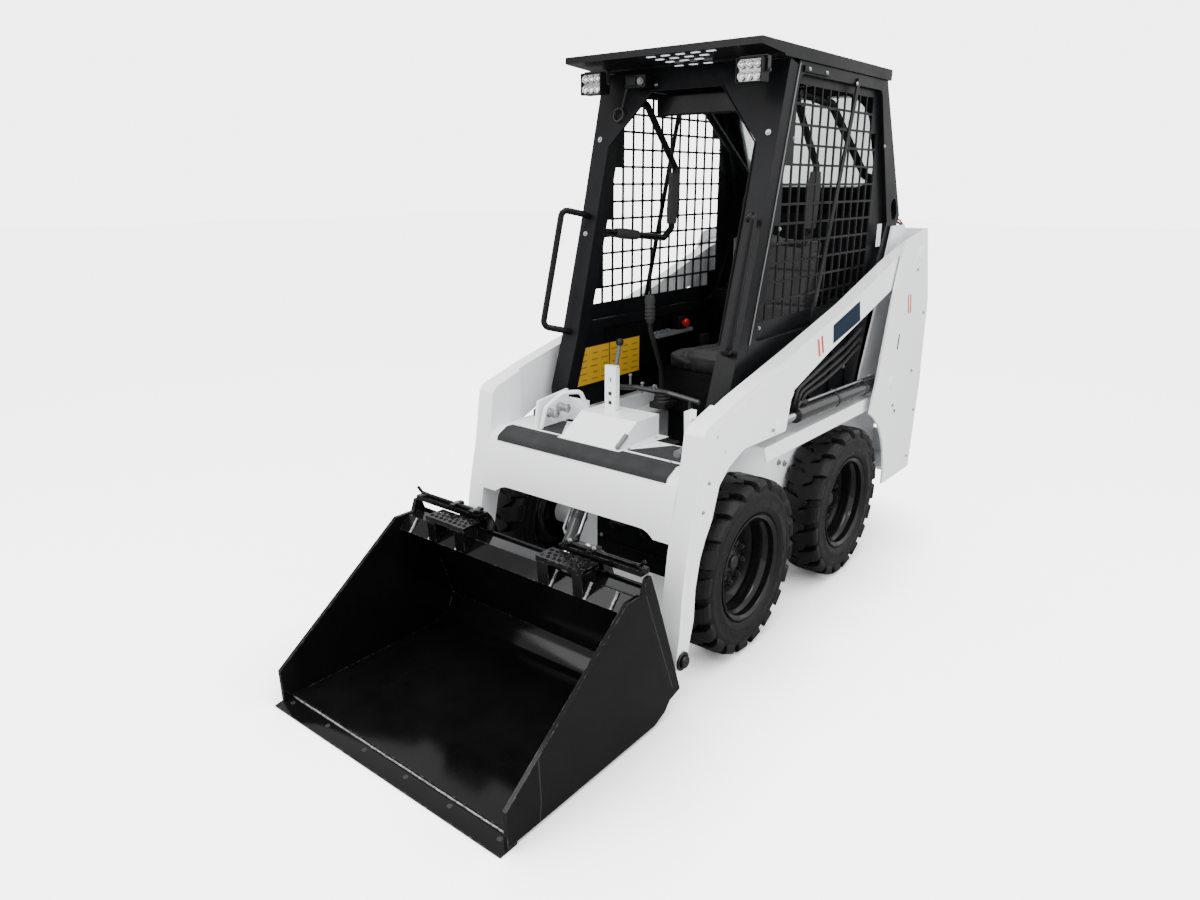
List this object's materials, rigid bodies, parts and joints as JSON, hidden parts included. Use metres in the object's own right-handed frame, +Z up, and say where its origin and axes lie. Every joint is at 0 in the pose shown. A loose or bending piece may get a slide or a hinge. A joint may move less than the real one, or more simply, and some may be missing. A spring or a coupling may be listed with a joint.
{
  "type": "compact skid steer loader",
  "caption": "Compact skid steer loader with a radial lift boom, tilting bucket, screened canopy, seat bar, rear door and lugged tyres.",
  "frame": {"origin": "on the ground, at the middle of the machine's length and width with the bucket flat on the ground", "axes": "+X forward towards the bucket, +Y to the machine's left, +Z up"},
  "size_m": [2.522, 0.914, 1.814],
  "materials": {
    "white_paint": "gloss cool white paint",
    "cab_black": "satin black powder coat",
    "bucket_black": "gloss black paint",
    "tyre_rubber": "matt rubber",
    "rim_black": "gloss black paint",
    "cylinder_black": "semi-gloss black paint",
    "rod_chrome": "polished chrome",
    "engine_metal": "plain cast metal",
    "tinted_glass": "lightly tinted glass",
    "lamp_lens": "clear lamp lens",
    "seat_vinyl": "black vinyl"
  },
  "bodies": {
    "chassis": {"lower_frame": "white_paint", "rear_bumper": "white_paint", "engine_block": "engine_metal", "engine_hood": "white_paint", "left_fender": "white_paint", "right_fender": "white_paint", "left_upright": "white_paint", "right_upright": "white_paint", "cab_front_frame": "cab_black", "cab_left_side": "cab_black", "cab_right_side": "cab_black", "left_screen": "cab_black", "right_screen": "cab_black", "cab_roof": "cab_black", "cab_rear_wall": "cab_black", "rear_window": "tinted_glass", "left_work_light": "lamp_lens", "right_work_light": "lamp_lens", "left_grab_handle": "cab_black", "right_grab_handle": "cab_black", "left_hand_rail": "cab_black", "right_hand_rail": "cab_black", "cab_floor": "cab_black", "seat_cushion": "seat_vinyl", "seat_back": "seat_vinyl"},
    "rear_door": {"rear_door": "white_paint"},
    "seat_bar": {"seat_bar": "cab_black"},
    "boom": {"left_arm": "white_paint", "right_arm": "white_paint", "cross_member": "white_paint", "coupler_block": "white_paint"},
    "left_lift_barrel": {"left_lift_barrel": "cylinder_black"},
    "left_lift_rod": {"left_lift_rod": "rod_chrome"},
    "right_lift_barrel": {"right_lift_barrel": "cylinder_black"},
    "right_lift_rod": {"right_lift_rod": "rod_chrome"},
    "tilt_barrel": {"tilt_barrel": "cylinder_black"},
    "tilt_rod": {"tilt_rod": "rod_chrome"},
    "bucket": {"quick_attach": "bucket_black", "left_lock_lever": "bucket_black", "right_lock_lever": "bucket_black", "bucket_shell": "bucket_black", "cutting_edge": "bucket_black", "left_step": "bucket_black", "right_step": "bucket_black"},
    "front_left_wheel": {"front_left_tyre": "tyre_rubber", "front_left_rim": "rim_black"},
    "front_right_wheel": {"front_right_tyre": "tyre_rubber", "front_right_rim": "rim_black"},
    "rear_left_wheel": {"rear_left_tyre": "tyre_rubber", "rear_left_rim": "rim_black"},
    "rear_right_wheel": {"rear_right_tyre": "tyre_rubber", "rear_right_rim": "rim_black"}
  },
  "joints": [
    {"name": "boom_lift", "type": "hinge", "parent": "chassis", "child": "boom", "pos_m": [-1.106, 0, 1.172], "axis": [0, -1, 0], "range_deg": [0, 73.5]},
    {"name": "bucket_tilt", "type": "hinge", "parent": "boom", "child": "bucket", "pos_m": [0.505, 0, 0.13], "axis": [0, 1, 0], "range_deg": [-25, 113.5]},
    {"name": "left_lift_barrel_swing", "type": "hinge", "parent": "chassis", "child": "left_lift_barrel", "pos_m": [-0.925, 0.41, 0.69], "axis": [0, -1, 0], "range_deg": [0, 66.99]},
    {"name": "left_lift_rod_slide", "type": "slide", "parent": "left_lift_barrel", "child": "left_lift_rod", "axis": [0.9997, 0, 0.0258], "range_m": [0, 0.6006]},
    {"name": "right_lift_barrel_swing", "type": "hinge", "parent": "chassis", "child": "right_lift_barrel", "pos_m": [-0.925, -0.41, 0.69], "axis": [0, -1, 0], "range_deg": [0, 66.99]},
    {"name": "right_lift_rod_slide", "type": "slide", "parent": "right_lift_barrel", "child": "right_lift_rod", "axis": [0.9997, 0, 0.0258], "range_m": [0, 0.6006]},
    {"name": "tilt_barrel_swing", "type": "hinge", "parent": "boom", "child": "tilt_barrel", "pos_m": [0.2935, 0, 0.681], "axis": [0, 1, 0], "range_deg": [-1.2, 4.36]},
    {"name": "tilt_rod_slide", "type": "slide", "parent": "tilt_barrel", "child": "tilt_rod", "axis": [0.5246, 0, -0.8513], "range_m": [-0.0574, 0.2579]},
    {"name": "rear_door_swing", "type": "hinge", "parent": "chassis", "child": "rear_door", "pos_m": [-1.251, -0.334, 0.68], "axis": [0, 0, 1], "range_deg": [0, 100]},
    {"name": "seat_bar_swing", "type": "hinge", "parent": "chassis", "child": "seat_bar", "pos_m": [-0.975, 0, 1.45], "axis": [0, 1, 0], "range_deg": [0, 62]},
    {"name": "front_left_wheel_spin", "type": "hinge", "parent": "chassis", "child": "front_left_wheel", "pos_m": [0.13, 0.3775, 0.285], "axis": [0, 1, 0], "continuous": true},
    {"name": "front_right_wheel_spin", "type": "hinge", "parent": "chassis", "child": "front_right_wheel", "pos_m": [0.13, -0.3775, 0.285], "axis": [0, 1, 0], "continuous": true},
    {"name": "rear_left_wheel_spin", "type": "hinge", "parent": "chassis", "child": "rear_left_wheel", "pos_m": [-0.592, 0.3775, 0.285], "axis": [0, 1, 0], "continuous": true},
    {"name": "rear_right_wheel_spin", "type": "hinge", "parent": "chassis", "child": "rear_right_wheel", "pos_m": [-0.592, -0.3775, 0.285], "axis": [0, 1, 0], "continuous": true}
  ],
  "couplings": [
    {"joint": "left_lift_barrel_swing", "follows": "boom_lift", "ratio": 0.90461},
    {"joint": "left_lift_rod_slide", "follows": "boom_lift", "m_per_rad": 0.4666},
    {"joint": "right_lift_barrel_swing", "follows": "boom_lift", "ratio": 0.90461},
    {"joint": "right_lift_rod_slide", "follows": "boom_lift", "m_per_rad": 0.4666},
    {"joint": "tilt_barrel_swing", "follows": "bucket_tilt", "ratio": 0.03581},
    {"joint": "tilt_rod_slide", "follows": "bucket_tilt", "m_per_rad": 0.12919}
  ]
}
